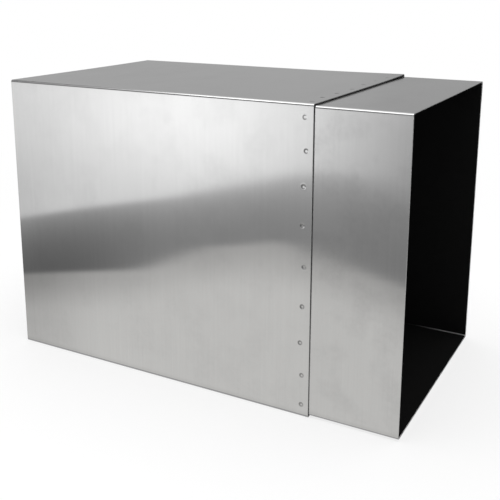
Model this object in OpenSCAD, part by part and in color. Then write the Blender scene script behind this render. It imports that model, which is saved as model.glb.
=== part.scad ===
// Rectangular vent cowl in brushed stainless sheet: an outer casing and an inner sleeve that
// slides in it along X. Each is a sheet folded on four edges round a flat back panel. The front
// is at -Y, the sleeve's open mouth at +X, and the origin is on the base, under the middle.

/* [Casing] */
// Length of the outer casing, from its rear end to its mouth
casing_l = 400; // [360:5:800]
// Depth of the casing, front to back
casing_d = 285; // [180:1:500]
// Height of the casing
casing_h = 340; // [200:1:600]

/* [Sleeve] */
// Full length of the inner sleeve
sleeve_l = 360; // [260:5:420]
// How much of the sleeve stands out of the casing at rest
sleeve_out = 100; // [10:1:150]

/* [Sheet] */
// Thickness of the casing's sheet
casing_t = 0.8; // [0.6:0.1:1.5]
// Thickness of the sleeve's sheet
sleeve_t = 0.8; // [0.6:0.1:1.5]
// Outside radius of the folded edges
bend_r = 2.5; // [2:0.1:5]
// Width of the flanges that are folded in behind, along the back panel's edges
flange_w = 25; // [20:1:50]
// Gap between what slides and what it slides in
slide_gap = 0.3; // [0.2:0.05:1]

/* [Mouth strips] */
// Width of the guide strips welded inside the casing's mouth
mouth_strip_w = 20; // [15:1:40]
// Thickness of the guide strips, of the stop strips and of the felt
strip_t = 0.8; // [0.6:0.1:2]
// How far the guide strips sit back from the mouth's edge
mouth_setback = 0.5; // [0:0.5:5]
// How far every strip ends from the corner beside it
strip_corner = 9; // [8:0.5:30]

/* [Tail strips] */
// Width of the stop strips welded round the sleeve's tail
tail_strip_w = 20; // [10:1:40]
// Distance from the sleeve's tail end to the stop strips
tail_strip_inset = 19.5; // [15:0.5:60]
// Width of the felt tape behind the stop strips
felt_w = 12; // [6:1:13]
// Distance from the sleeve's tail end to the felt tape
felt_inset = 1; // [0:0.5:2]

/* [Lining] */
// Thickness of the black lining sheets in the sleeve
lining_t = 1; // [0.5:0.1:1.5]
// Bare strip left in each corner, beside the lining sheets
lining_corner = 2; // [2:0.5:10]
// How far the lining ends from either end of the sleeve
lining_setback = 0.5; // [0:0.5:5]

/* [Spot welds] */
// Radius of the dish that a weld leaves, at the surface
weld_r = 2.75; // [2:0.05:4]
// Radius of the dish's flat bottom
weld_flat_r = 1.5; // [0.5:0.1:1.9]
// Depth of the dish
weld_depth = 0.25; // [0.1:0.05:0.4]
// Usual distance from one weld to the next
weld_pitch = 37.5; // [20:0.5:80]
// Distance from the edge of the sheet to the row of welds
weld_row = 9; // [6:0.5:15]
// Distance from a row's ends to its first and last weld
weld_end = 14; // [10:0.5:30]
// How far the hand-set welds crowd towards the ends of a row
weld_crowd = 7; // [0:0.5:8]
// How far a hand-set weld strays to either side of its row
weld_stray = 1.6; // [0:0.1:3]

/* [Fixing holes] */
// Radius of the two screw holes in the casing's back panel
hole_r = 2.75; // [1.5:0.05:4]
// Distance from the casing's rear end to the holes
hole_inset = 25; // [10:1:40]
// Distance between the two holes
hole_span = 240; // [60:1:280]

/* [Hidden] */

// Facets round a folded edge, a screw hole and a weld's dish
bend_fn = 48;
hole_fn = 48;
weld_fn = 48;
// How far a cut runs past the face it starts from
over = 1;

// Ends of the casing and of the sleeve along X
rear_x = -(casing_l + sleeve_out) / 2;
mouth_x = rear_x + casing_l;
nose_x = mouth_x + sleeve_out;
tail_x = nose_x - sleeve_l;

// From a casing wall's inside to the sleeve: a strip and its running gap
slot_w = strip_t + slide_gap;
// Outside faces of the casing, and of the back panel inside its flanges
casing_front_y = -casing_d / 2;
casing_rear_y = casing_d / 2;
casing_panel_y = casing_rear_y - casing_t;
// Faces of the casing that the strips are welded to
casing_in_front_y = casing_front_y + casing_t;
casing_in_rear_y = casing_panel_y - casing_t;
casing_in_bottom_z = casing_t;
casing_in_top_z = casing_h - casing_t;
// Outside faces of the sleeve, and of the back panel inside its flanges
sleeve_front_y = casing_in_front_y + slot_w;
sleeve_rear_y = casing_in_rear_y - slot_w;
sleeve_panel_y = sleeve_rear_y - sleeve_t;
sleeve_bottom_z = casing_in_bottom_z + slot_w;
sleeve_top_z = casing_in_top_z - slot_w;
// Faces of the sleeve that the lining is glued to
sleeve_in_front_y = sleeve_front_y + sleeve_t;
sleeve_in_rear_y = sleeve_panel_y - sleeve_t;
sleeve_in_bottom_z = sleeve_bottom_z + sleeve_t;
sleeve_in_top_z = sleeve_top_z - sleeve_t;

// Where the strips, the felt and the lining start along X
mouth_strip_x = mouth_x - mouth_setback - mouth_strip_w;
tail_strip_x = tail_x + tail_strip_inset;
felt_x = tail_x + felt_inset;
lining_x = tail_x + lining_setback;
lining_l = sleeve_l - 2 * lining_setback;

// Angles that scatter the hand-set welds to either side of their row
stray_step = 110;
stray_start = 35;

steel = "silver";
mill_steel = "lightgray";
felt_grey = "dimgray";
lining_black = [0.06, 0.06, 0.06];

// Even places from a to b, about the usual weld pitch apart
function weld_count(a, b) = max(1, round((b - a - 2 * weld_end) / weld_pitch));
function even_place(a, b, i) = a + weld_end + (b - a - 2 * weld_end) * i / weld_count(a, b);
// The same places as a hand sets them: crowded towards the ends and straying off the row
function hand_place(a, b, i) = even_place(a, b, i) - weld_crowd * sin(360 * i / weld_count(a, b));
function stray(i) = weld_stray * sin(stray_start + stray_step * i);

// Outline of a box section with its near bottom corner at [y, z] and four round corners
module box_outline(y, z, d, h, r) {
    translate([y + r, z])
        square([d - 2 * r, h]);
    translate([y, z + r])
        square([d, h - 2 * r]);
    for (cy = [y + r, y + d - r], cz = [z + r, z + h - r])
        translate([cy, cz])
            circle(r, $fn = bend_fn);
}

// Draws a YZ outline out along X
module along_x(x, l) {
    translate([x, 0, 0])
        rotate([90, 0, 90])
            linear_extrude(l)
                children();
}

// Sheet folded round front, top and bottom, with a flange behind along the top and the bottom
module folded_wrap(x, l, y0, y1, z0, z1, t) {
    along_x(x, l)
        difference() {
            box_outline(y0, z0, y1 - y0, z1 - z0, bend_r);
            box_outline(y0 + t, z0 + t, y1 - y0 - 2 * t, z1 - z0 - 2 * t, bend_r - t);
            translate([y1 - t - over, z0 + flange_w])
                square([t + 2 * over, z1 - z0 - 2 * flange_w]);
        }
}

// Flat back panel: its outer face at y, its edges just clear of the folds
module back_panel(x, l, y, z0, z1, t) {
    translate([x, y - t, z0 + bend_r])
        cube([l, t, z1 - z0 - 2 * bend_r]);
}

// Strip against an upright wall, standing out of the face at y to the side that out gives
module upright_strip(x, l, y, out, z0, z1, t) {
    translate([x, min(y, y + out * t), z0])
        cube([l, t, z1 - z0]);
}

// Strip against a level wall, standing out of the face at z to the side that out gives
module level_strip(x, l, z, out, y0, y1, t) {
    translate([x, y0, min(z, z + out * t)])
        cube([l, y1 - y0, t]);
}

// Cutter for one weld's dish in a level face at z = 0. It reaches as far above the face as
// below it, and widens evenly on the way.
module dish_cutter() {
    translate([0, 0, -weld_depth])
        cylinder(
            h = 2 * weld_depth,
            r1 = weld_flat_r,
            r2 = 2 * weld_r - weld_flat_r,
            $fn = weld_fn
        );
}

// Row of hand-set dishes up an upright face; out is the side that the face looks to
module mouth_welds_upright(y, out) {
    for (i = [0:weld_count(0, casing_h)])
        translate([mouth_x - weld_row + stray(i), y, hand_place(0, casing_h, i)])
            rotate([-90 * out, 0, 0])
                dish_cutter();
}

// Row of hand-set dishes across a level face; out is the side that the face looks to
module mouth_welds_level(z, out) {
    for (i = [0:weld_count(casing_front_y, casing_rear_y)])
        translate([
            mouth_x - weld_row + stray(i + 1),
            hand_place(casing_front_y, casing_rear_y, i),
            z
        ])
            rotate([90 - 90 * out, 0, 0])
                dish_cutter();
}

// Even row of dishes along a rear flange, where it is welded to the back panel
module seam_welds(x0, x1, y, z) {
    for (i = [0:weld_count(x0, x1)])
        translate([even_place(x0, x1, i), y, z])
            rotate([-90, 0, 0])
                dish_cutter();
}

// The rows on both rear flanges of a section
module seam_welds_pair(x0, x1, y, z0, z1) {
    seam_welds(x0, x1, y, z0 + flange_w / 2);
    seam_welds(x0, x1, y, z1 - flange_w / 2);
}

// Two holes for wall screws, one above the other near the casing's rear end
module fixing_holes() {
    for (side = [-1, 1])
        translate([rear_x + hole_inset, casing_panel_y + over, casing_h / 2 + side * hole_span / 2])
            rotate([90, 0, 0])
                cylinder(h = casing_t + 2 * over, r = hole_r, $fn = hole_fn);
}

// Folded outer sheet: front, top, bottom and the two rear flanges
module casing_wrap() {
    color(steel)
        difference() {
            folded_wrap(rear_x, casing_l, casing_front_y, casing_rear_y, 0, casing_h, casing_t);
            mouth_welds_upright(casing_front_y, -1);
            mouth_welds_level(casing_h, 1);
            mouth_welds_level(0, -1);
            seam_welds_pair(rear_x, mouth_x - weld_end, casing_rear_y, 0, casing_h);
        }
}

// Flat back of the casing, welded inside the flanges
module casing_back() {
    color(steel)
        difference() {
            back_panel(rear_x, casing_l, casing_panel_y, 0, casing_h, casing_t);
            fixing_holes();
            intersection() {
                mouth_welds_upright(casing_panel_y, 1);
                translate([rear_x, -casing_d, flange_w + weld_r])
                    cube([casing_l, 2 * casing_d, casing_h - 2 * flange_w - 2 * weld_r]);
            }
        }
}

module mouth_strip_front() {
    color(mill_steel)
        upright_strip(mouth_strip_x, mouth_strip_w, casing_in_front_y, 1,
            strip_corner, casing_h - strip_corner, strip_t);
}

module mouth_strip_top() {
    color(mill_steel)
        level_strip(mouth_strip_x, mouth_strip_w, casing_in_top_z, -1,
            casing_front_y + strip_corner, casing_rear_y - strip_corner, strip_t);
}

module mouth_strip_bottom() {
    color(mill_steel)
        level_strip(mouth_strip_x, mouth_strip_w, casing_in_bottom_z, 1,
            casing_front_y + strip_corner, casing_rear_y - strip_corner, strip_t);
}

module mouth_strip_back() {
    color(mill_steel)
        upright_strip(mouth_strip_x, mouth_strip_w, casing_in_rear_y, -1,
            strip_corner, casing_h - strip_corner, strip_t);
}

// Folded sheet of the sleeve: front, top, bottom and the two rear flanges
module sleeve_wrap() {
    color(steel)
        difference() {
            folded_wrap(tail_x, sleeve_l, sleeve_front_y, sleeve_rear_y,
                sleeve_bottom_z, sleeve_top_z, sleeve_t);
            seam_welds_pair(tail_strip_x + tail_strip_w, nose_x, sleeve_rear_y,
                sleeve_bottom_z, sleeve_top_z);
        }
}

// Flat back of the sleeve, welded inside the flanges
module sleeve_back() {
    color(steel)
        back_panel(tail_x, sleeve_l, sleeve_panel_y, sleeve_bottom_z, sleeve_top_z, sleeve_t);
}

// Band round the sleeve's tail: the stop strips and the felt tape are both made of these
module tail_band_front(x, w) {
    upright_strip(x, w, sleeve_front_y, -1, strip_corner, casing_h - strip_corner, strip_t);
}

module tail_band_top(x, w) {
    level_strip(x, w, sleeve_top_z, 1,
        casing_front_y + strip_corner, casing_rear_y - strip_corner, strip_t);
}

module tail_band_bottom(x, w) {
    level_strip(x, w, sleeve_bottom_z, -1,
        casing_front_y + strip_corner, casing_rear_y - strip_corner, strip_t);
}

// Behind, the band is in two pieces, one on each flange
module tail_band_back(x, w) {
    upright_strip(x, w, sleeve_rear_y, 1, strip_corner, sleeve_bottom_z + flange_w, strip_t);
    upright_strip(x, w, sleeve_rear_y, 1,
        sleeve_top_z - flange_w, casing_h - strip_corner, strip_t);
}

module tail_strip_front() {
    color(mill_steel)
        tail_band_front(tail_strip_x, tail_strip_w);
}

module tail_strip_top() {
    color(mill_steel)
        tail_band_top(tail_strip_x, tail_strip_w);
}

module tail_strip_bottom() {
    color(mill_steel)
        tail_band_bottom(tail_strip_x, tail_strip_w);
}

module tail_strip_back() {
    color(mill_steel)
        tail_band_back(tail_strip_x, tail_strip_w);
}

module tail_felt_front() {
    color(felt_grey)
        tail_band_front(felt_x, felt_w);
}

module tail_felt_top() {
    color(felt_grey)
        tail_band_top(felt_x, felt_w);
}

module tail_felt_bottom() {
    color(felt_grey)
        tail_band_bottom(felt_x, felt_w);
}

module tail_felt_back() {
    color(felt_grey)
        tail_band_back(felt_x, felt_w);
}

module lining_front() {
    color(lining_black)
        upright_strip(lining_x, lining_l, sleeve_in_front_y, 1,
            sleeve_in_bottom_z + lining_corner, sleeve_in_top_z - lining_corner, lining_t);
}

module lining_top() {
    color(lining_black)
        level_strip(lining_x, lining_l, sleeve_in_top_z, -1,
            sleeve_in_front_y + lining_corner, sleeve_in_rear_y - lining_corner, lining_t);
}

module lining_bottom() {
    color(lining_black)
        level_strip(lining_x, lining_l, sleeve_in_bottom_z, 1,
            sleeve_in_front_y + lining_corner, sleeve_in_rear_y - lining_corner, lining_t);
}

module lining_back() {
    color(lining_black)
        upright_strip(lining_x, lining_l, sleeve_in_rear_y, -1,
            sleeve_in_bottom_z + lining_corner, sleeve_in_top_z - lining_corner, lining_t);
}

casing_wrap();
casing_back();
mouth_strip_front();
mouth_strip_top();
mouth_strip_bottom();
mouth_strip_back();
sleeve_wrap();
sleeve_back();
tail_strip_front();
tail_strip_top();
tail_strip_bottom();
tail_strip_back();
tail_felt_front();
tail_felt_top();
tail_felt_bottom();
tail_felt_back();
lining_front();
lining_top();
lining_bottom();
lining_back();
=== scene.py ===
import math
from functools import partial

import bpy
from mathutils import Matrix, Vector
from mathutils.geometry import delaunay_2d_cdt


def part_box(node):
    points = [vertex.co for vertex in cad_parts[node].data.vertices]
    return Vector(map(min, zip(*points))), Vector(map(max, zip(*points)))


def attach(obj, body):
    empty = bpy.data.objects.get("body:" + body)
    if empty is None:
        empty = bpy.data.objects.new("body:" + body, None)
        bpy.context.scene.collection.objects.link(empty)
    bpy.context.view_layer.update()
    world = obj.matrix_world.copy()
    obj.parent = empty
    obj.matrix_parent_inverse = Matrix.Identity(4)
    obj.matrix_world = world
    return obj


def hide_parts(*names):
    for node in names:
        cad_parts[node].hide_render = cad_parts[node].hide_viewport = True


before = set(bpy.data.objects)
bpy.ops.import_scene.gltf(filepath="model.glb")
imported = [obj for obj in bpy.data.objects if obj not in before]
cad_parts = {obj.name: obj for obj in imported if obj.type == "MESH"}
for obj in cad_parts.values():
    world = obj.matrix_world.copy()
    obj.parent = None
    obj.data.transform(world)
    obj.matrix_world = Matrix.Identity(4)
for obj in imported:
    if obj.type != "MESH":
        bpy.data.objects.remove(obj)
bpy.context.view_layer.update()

# ---------------------------------------------------------------------------------------------
# 1  Casing sheet
# The outer section of the duct: one sheet of 0.8 mm brushed stainless, folded round the front,
# the top and the bottom, with a flange turned in along each edge behind. Spot welded by hand.

SHEET_T = 0.0008
FOLD_R = 0.0025
FOLD_RUN = FOLD_R * math.pi / 2
FOLD_STEPS = 8
FLANGE_W = 0.025
DEBURR = 0.00012

casing_low, casing_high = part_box("casing_wrap")


def leg_lengths(low, high):
    """Flat lengths between the folds, from the upper flange round to the lower one."""
    depth = high.y - low.y - 2 * FOLD_R
    height = high.z - low.z - 2 * FOLD_R
    return [FLANGE_W - FOLD_R, depth, height, depth, FLANGE_W - FOLD_R]


def leg_starts(low, high):
    """Run along the section at which each flat leg starts."""
    starts = [0.0]
    for length in leg_lengths(low, high)[:-1]:
        starts.append(starts[-1] + length + FOLD_RUN)
    return starts


def on_section(run, low, high):
    """Point (y, z) on the outer face at a run round the section, the way out, and the leg."""
    place = Vector((high.y, high.z - FLANGE_W))
    ahead = Vector((0.0, 1.0))
    for leg, length in enumerate(leg_lengths(low, high)):
        out = Vector((ahead.y, -ahead.x))
        if run <= length + 1e-9:
            return place + ahead * run, out, (leg, run / length)
        run -= length
        place = place + ahead * length
        turn = run / FOLD_R
        hub = place - out * FOLD_R
        if turn < math.pi / 2:
            turned = out * math.cos(turn) + ahead * math.sin(turn)
            return hub + turned * FOLD_R, turned, None
        run -= FOLD_RUN
        place = hub + ahead * FOLD_R
        ahead = Vector((-ahead.y, ahead.x))
    return place, out, (leg, 1.0)


# Spot welds: how the rows are set out. Rows set by hand crowd together and stray from the line
ROW_INSET = 0.009
ROW_END = 0.014
ROW_PITCH = 0.0375
ROW_CROWD = 0.007
ROW_STRAY = 0.0016
STRAY_START = math.radians(35)
STRAY_STEP = math.radians(110)


def weld_steps(length):
    """Number of steps between the welds of a row of that length."""
    return max(1, round(length / ROW_PITCH))


def set_places(start, end, hand_first=None):
    """Each weld of a row on an edge: how far along, and how far it strays to the side.
    hand_first is where a row set by hand starts in the welder's strays."""
    by_hand = hand_first is not None
    length = end - start - 2 * ROW_END
    steps = weld_steps(length)
    places = []
    for i in range(steps + 1):
        along = start + ROW_END + length * i / steps
        side = 0.0
        if by_hand:
            along -= ROW_CROWD * math.sin(2 * math.pi * i / steps)
            side = ROW_STRAY * math.sin(STRAY_START + STRAY_STEP * (i + hand_first))
        places.append((along, side))
    return places


def seam_welds(low, high, start, end):
    """The welds along both rear flanges of a folded sheet, on its blank."""
    lower_seam = leg_starts(low, high)[4] + FLANGE_W / 2 - FOLD_R
    return [(x, run) for x, _ in set_places(start, end) for run in (FLANGE_W / 2, lower_seam)]


# The flat blank: its grid, closer lines beside its edges and folds, and rings round each weld
GRID_STEP = 0.008
CLOSE_LINES = (0.0003, 0.0015)
CLOSE_SPAN = 0.012
WELD_RINGS = (0.0005, 0.001, 0.0015, 0.0019, 0.0023, 0.0026, 0.0029, 0.0033, 0.004, 0.0052)
WELD_CLEAR = 0.0062
WELD_STEPS = 24
HOLE_RINGS = (0.0, 0.0005, 0.0015)
HOLE_CLEAR = 0.0045
HOLE_STEPS = 40
SAME_POINT = 1e-7
SLIVER_AREA = 1e-13


def even_lines(start, end, step):
    """Evenly spaced lines from start to end, with closer ones beside either end."""
    count = max(1, round((end - start) / step))
    lines = [start + (end - start) * i / count for i in range(count + 1)]
    if end - start > CLOSE_SPAN:
        for gap in CLOSE_LINES:
            lines += [start + gap, end - gap]
    return lines


def in_order(lines):
    """Lines in order, each once."""
    return sorted(set(round(line, 7) for line in lines))


def round_section(low, high):
    """Lines of a folded sheet's blank round its section: its flat legs and its folds."""
    lines = []
    starts = leg_starts(low, high)
    for start, length in zip(starts, leg_lengths(low, high)):
        lines += even_lines(start, start + length, GRID_STEP)
        if start != starts[-1]:
            fold = start + length
            lines += [fold + FOLD_RUN * i / FOLD_STEPS for i in range(1, FOLD_STEPS)]
    return lines


def ring_points(a, b, radius, steps, turn=0.0):
    """Points evenly round a spot on the blank."""
    angles = [2 * math.pi * (j + turn) / steps for j in range(steps)]
    return [Vector((a + radius * math.cos(t), b + radius * math.sin(t))) for t in angles]


def sheared_blank(across, along, welds=(), holes=()):
    """Flat blank as triangles: grid lines, rings round every weld, and holes left open."""
    across = in_order(across)
    along = in_order(along)
    clear = [(a, b, WELD_CLEAR) for a, b in welds] + [(a, b, HOLE_CLEAR) for a, b, _ in holes]
    points = [Vector((x, s)) for x in across for s in along
              if all((x - a) ** 2 + (s - b) ** 2 >= r ** 2 for a, b, r in clear)]
    for a, b in welds:
        points.append(Vector((a, b)))
        for k, radius in enumerate(WELD_RINGS):
            points += ring_points(a, b, radius, WELD_STEPS, 0.5 * (k % 2))
    for a, b, hole_r in holes:
        for wider in HOLE_RINGS:
            points += ring_points(a, b, hole_r + wider, HOLE_STEPS)
    beside_edges = [((x, along[0]), (x, along[-1])) for x in (across[1], across[-2])]
    beside_edges += [((across[0], s), (across[-1], s)) for s in (along[1], along[-2])]
    kept_lines = [(len(points) + 2 * i, len(points) + 2 * i + 1) for i in range(4)]
    points += [Vector(spot) for line in beside_edges for spot in line]
    flat, _, faces, _, _, _ = delaunay_2d_cdt(points, kept_lines, [], 0, SAME_POINT)
    kept = []
    for face in faces:
        mid = sum((flat[v] for v in face), Vector((0.0, 0.0))) / len(face)
        area = (flat[face[1]] - flat[face[0]]).cross(flat[face[2]] - flat[face[0]])
        in_hole = any((mid.x - a) ** 2 + (mid.y - b) ** 2 < (0.99 * r) ** 2 for a, b, r in holes)
        if not in_hole and abs(area) > SLIVER_AREA:
            kept.append(tuple(face) if area > 0 else tuple(reversed(face)))
    return flat, kept


def shaped_sheet(name, blank, place_on, finishes):
    """Closed sheet: an outer and an inner skin over the blank, with a deburred cut edge.
    The outer skin and the edge take the first finish, and the inner skin takes the second."""
    flat, faces = blank
    sides = dict.fromkeys((face[i], face[(i + 1) % 3]) for face in faces for i in range(3))
    rim = [(a, b) for a, b in sides if (b, a) not in sides]
    outward = {}
    for a, b in rim:
        run = flat[b] - flat[a]
        side = Vector((run.y, -run.x)).normalized()
        for v in (a, b):
            outward[v] = outward.get(v, Vector((0.0, 0.0))) + side
    verts, outside, cut_edge, blank_uv = [], [], [], []
    outer, upper, lower, inner = {}, {}, {}, {}

    def lay(v, spot, levels):
        """Points of the sheet at a spot of the blank, one for each level's depth."""
        face_point, way_out = place_on(spot.x, spot.y)
        for level, depth, uv_shift in levels:
            level[v] = len(verts)
            verts.append(face_point - way_out * depth)
            outside.append(1.0 if level is outer else 0.0)
            cut_edge.append(1.0 if v in outward else 0.0)
            blank_uv.append((flat[v].x + uv_shift, flat[v].y + uv_shift))

    for v in sorted({v for face in faces for v in face}):
        spot = flat[v]
        if v in outward:
            spot = spot - DEBURR * Vector((round(outward[v].x), round(outward[v].y)))
        lay(v, spot, ((outer, 0.0, 0.0), (inner, SHEET_T, 0.0)))
    chamfer = 2 * DEBURR
    for v in outward:
        lay(v, flat[v], ((upper, chamfer, chamfer),
                         (lower, SHEET_T - chamfer, SHEET_T - chamfer)))
    shell = []
    for a, b, c in faces:
        shell += [(outer[c], outer[b], outer[a]), (inner[a], inner[b], inner[c])]
    for a, b in rim:
        for high, low in ((outer, upper), (upper, lower), (lower, inner)):
            shell.append((high[a], high[b], low[b], low[a]))
    mesh = bpy.data.meshes.new(name)
    mesh.from_pydata(verts, [], shell)
    layer = mesh.uv_layers.new(name="Blank")
    for loop in mesh.loops:
        layer.data[loop.index].uv = blank_uv[loop.vertex_index]
    for finish in finishes:
        mesh.materials.append(finish)
    second = [i % 2 if i < 2 * len(faces) else 0 for i in range(len(shell))]
    mesh.polygons.foreach_set("material_index", second)
    for label, values in (("outside", outside), ("cut_edge", cut_edge)):
        mesh.attributes.new(label, "FLOAT", "POINT").data.foreach_set("value", values)
    mesh.update()
    mesh.shade_smooth()
    mesh.set_sharp_from_angle(angle=math.radians(28))
    piece = bpy.data.objects.new(name, mesh)
    bpy.context.scene.collection.objects.link(piece)
    return piece


# How far a panel dishes in between its folds, and how far the top springs up behind
PANEL_DISH = 0.0004
STIFF_MOUTH = 0.028
DISH_FADE = 0.10
TOP_SPRING = 0.0013
SPRING_REACH = 0.16
SPRING_FROM_Y = -0.09
SPRING_DEPTH = 0.03


def clamped(value):
    """A share kept between 0 and 1."""
    return max(0.0, min(1.0, value))


def smooth(start, end, value):
    """0 before start, 1 past end, smooth between."""
    share = clamped((value - start) / (end - start))
    return share * share * (3 - 2 * share)


def top_spring(x, y, z):
    """How far the casing's top has sprung up: nothing in front, most at the mouth behind."""
    reach = max(0.0, 1.0 - (casing_high.x - x) / SPRING_REACH)
    behind = clamped((y - SPRING_FROM_Y) / (casing_high.y - SPRING_FROM_Y))
    upper = clamped((z - casing_high.z + SPRING_DEPTH) / SPRING_DEPTH)
    return TOP_SPRING * reach ** 2 * behind ** 5 * upper


def panel_dish(x, leg, share, x_start, x_end):
    """How far a flat panel has dished in at a point, fading out at its folds and its mouth.
    A slow wave and a finer ripple keep it from being the same along the sheet."""
    if leg in (0, 4):
        return 0.0
    along = (x - x_start) / (x_end - x_start)
    fade = smooth(0.0, DISH_FADE, x_end - STIFF_MOUTH - x)
    wave = 0.72 + 0.28 * math.sin(5.3 * along + 2.1 * share + 1.7 * leg)
    ripple = 0.16 * math.sin(11.0 * along + 4.0 * share + leg) * math.sin(math.pi * share)
    return PANEL_DISH * fade * (math.sin(math.pi * share) * wave + ripple)


def folded_place(x, run, low, high, dish):
    """Place and way out on a folded sheet's outer face, its flat legs dished in."""
    (y, z), out, flat_leg = on_section(run, low, high)
    way = Vector((0.0, out.x, out.y))
    point = Vector((x, y, z))
    if flat_leg is not None:
        point -= way * dish(x, *flat_leg)
    return point, way


# The effects that the finishes share, each one shader group with its own values in a finish

def fill(tree, socket, value):
    """A socket linked from another one, or set to a plain value."""
    if isinstance(value, bpy.types.NodeSocket):
        tree.links.new(value, socket)
    else:
        socket.default_value = value


def placed(tree, kind, values=None, **settings):
    """A node with its settings, its inputs filled by name or number."""
    node = tree.nodes.new(kind)
    for label, setting in settings.items():
        setattr(node, label, setting)
    for label, value in (values or {}).items():
        fill(tree, node.inputs[label], value)
    return node


def math_node(tree, operation, *values, clamp=False):
    """Result of a Math node on sockets or plain numbers."""
    node = placed(tree, "ShaderNodeMath", dict(enumerate(values)), operation=operation)
    node.use_clamp = clamp
    return node.outputs[0]


def times(tree, *factors, clamp=False):
    """Product of sockets and plain numbers."""
    product = factors[0]
    for factor in factors[1:]:
        product = math_node(tree, "MULTIPLY", product, factor)
    product.node.use_clamp = clamp
    return product


def summed(tree, start, *shares):
    """A start value plus sockets, each times its weight."""
    total = start
    for socket, weight in shares:
        total = math_node(tree, "MULTIPLY_ADD", socket, weight, total)
    return total


def vector_node(tree, operation, *values, scale=None):
    """Result of a Vector Math node on sockets, with an optional scale."""
    node = placed(tree, "ShaderNodeVectorMath", dict(enumerate(values)), operation=operation)
    if scale is not None:
        fill(tree, node.inputs["Scale"], scale)
    one_number = operation in ("LENGTH", "DISTANCE", "DOT_PRODUCT")
    return node.outputs["Value" if one_number else "Vector"]


def scaled_noise(tree, stretch, detail, rough):
    """Noise on Object coordinates stretched by three scales, which are sockets or numbers."""
    spot = placed(tree, "ShaderNodeTexCoord").outputs["Object"]
    scales = placed(tree, "ShaderNodeCombineXYZ", dict(enumerate(stretch))).outputs[0]
    return placed(tree, "ShaderNodeTexNoise", {
        "Scale": 1.0, "Detail": detail, "Roughness": rough,
        "Vector": vector_node(tree, "MULTIPLY", spot, scales),
    }).outputs[0]


def new_group(name, inputs, outputs):
    """Empty shader group, with its named inputs to read and its outputs to fill."""
    tree = bpy.data.node_groups.new(name, "ShaderNodeTree")
    for label, value in inputs.items():
        socket = tree.interface.new_socket(label, in_out="INPUT", socket_type="NodeSocketFloat")
        socket.default_value = value
    for label in outputs:
        tree.interface.new_socket(label, in_out="OUTPUT", socket_type="NodeSocketFloat")
    given = tree.nodes.new("NodeGroupInput").outputs
    result = tree.nodes.new("NodeGroupOutput").inputs
    return tree, given, result


# Brushed grain: long fine lines across the duct, which is X against Y and Z alike
grain_group, given, result = new_group(
    "Brushed grain", {"Lines Across": 300.0, "Lines Along": 2.5, "Blotch Size": 7.0},
    ["Lines", "Blotches", "Height"],
)


def grain_lines(finer_across, finer_along, detail, rough):
    """Noise drawn out into lines, that much finer than the group's own two sizes."""
    across = times(grain_group, given["Lines Across"], finer_across)
    along = times(grain_group, given["Lines Along"], finer_along)
    return scaled_noise(grain_group, (across, along, along), detail, rough)


coarse = grain_lines(1.0, 1.0, 3.0, 0.6)
fine = grain_lines(3.1, 2.3, 2.0, 0.5)
hair = grain_lines(9.0, 5.0, 1.0, 0.5)
blotch = scaled_noise(grain_group, (given["Blotch Size"],) * 3, 3.0, 0.55)
all_lines = summed(grain_group, 0.0, (coarse, 0.45), (fine, 0.35), (hair, 0.20))
fill(grain_group, result["Lines"], all_lines)
fill(grain_group, result["Blotches"], blotch)
fill(grain_group, result["Height"], fine)

# Rub marks and painted seam shade: where hands and neighbours have dulled or polished an edge or a
# face, and on the cut edges painted shade that darkens the seams
rub_and_seam_shade_group, given, result = new_group(
    "Rub marks and seam shade", {"Edge": 0.0, "Breakup": 120.0, "Amount": 1.0}, ["Mask"]
)
breakup = scaled_noise(rub_and_seam_shade_group, (given["Breakup"],) * 3, 4.0, 0.6)
broken = summed(rub_and_seam_shade_group, 0.1, (breakup, 1.2))
rubbed_and_shaded = times(rub_and_seam_shade_group, given["Edge"], broken, given["Amount"], clamp=True)
fill(rub_and_seam_shade_group, result["Mask"], rubbed_and_shaded)

# Fine dust, thin everywhere and gathered in soft patches
dust_group, given, result = new_group(
    "Fine dust", {"Patch Size": 14.0, "Amount": 0.3}, ["Mask"]
)
patches = scaled_noise(dust_group, (given["Patch Size"],) * 3, 5.0, 0.65)
speck_scale = times(dust_group, given["Patch Size"], 60.0)
specks = scaled_noise(dust_group, (speck_scale,) * 3, 2.0, 0.5)
dusty = times(dust_group, patches, specks, 3.0, given["Amount"], clamp=True)
fill(dust_group, result["Mask"], dusty)

# Hand smears: soft wiped patches, broken up finely, that dull the steel a little
smear_group, given, result = new_group(
    "Hand smears", {"Patch Size": 9.0, "Stretch": 2.0, "Amount": 1.0}, ["Mask"]
)
patch_scale = given["Patch Size"]
long_scale = math_node(smear_group, "DIVIDE", patch_scale, given["Stretch"])
wiped = scaled_noise(smear_group, (patch_scale, long_scale, patch_scale), 3.0, 0.55)
patch = math_node(smear_group, "MULTIPLY_ADD", wiped, 6.0, -2.75, clamp=True)
broken_scale = times(smear_group, patch_scale, 7.0)
broken = scaled_noise(smear_group, (broken_scale,) * 3, 4.0, 0.6)
smeared = times(smear_group, patch, broken, given["Amount"], clamp=True)
fill(smear_group, result["Mask"], smeared)


def mask_of(tree, group, values):
    """The mask of a shared group, placed in a finish with that finish's own values."""
    return placed(tree, "ShaderNodeGroup", values, node_tree=group).outputs["Mask"]


def attribute_value(tree, name):
    """A mask that was stored on the mesh."""
    return placed(tree, "ShaderNodeAttribute", attribute_name=name).outputs["Fac"]


def grey(level):
    """A neutral colour of that linear level."""
    return (level, level, level, 1.0)


def colour_mix(tree, mask, first, second):
    """Colour between two colours, each a socket or four numbers."""
    mix = {"Factor": mask, 6: first, 7: second}
    return placed(tree, "ShaderNodeMix", mix, data_type="RGBA").outputs[2]


def coated(tree, body, *coats):
    """A colour with coats over it, each given by a mask, its strength and its colour."""
    for mask, strength, colour in coats:
        body = colour_mix(tree, times(tree, mask, strength), body, colour)
    return body


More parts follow.
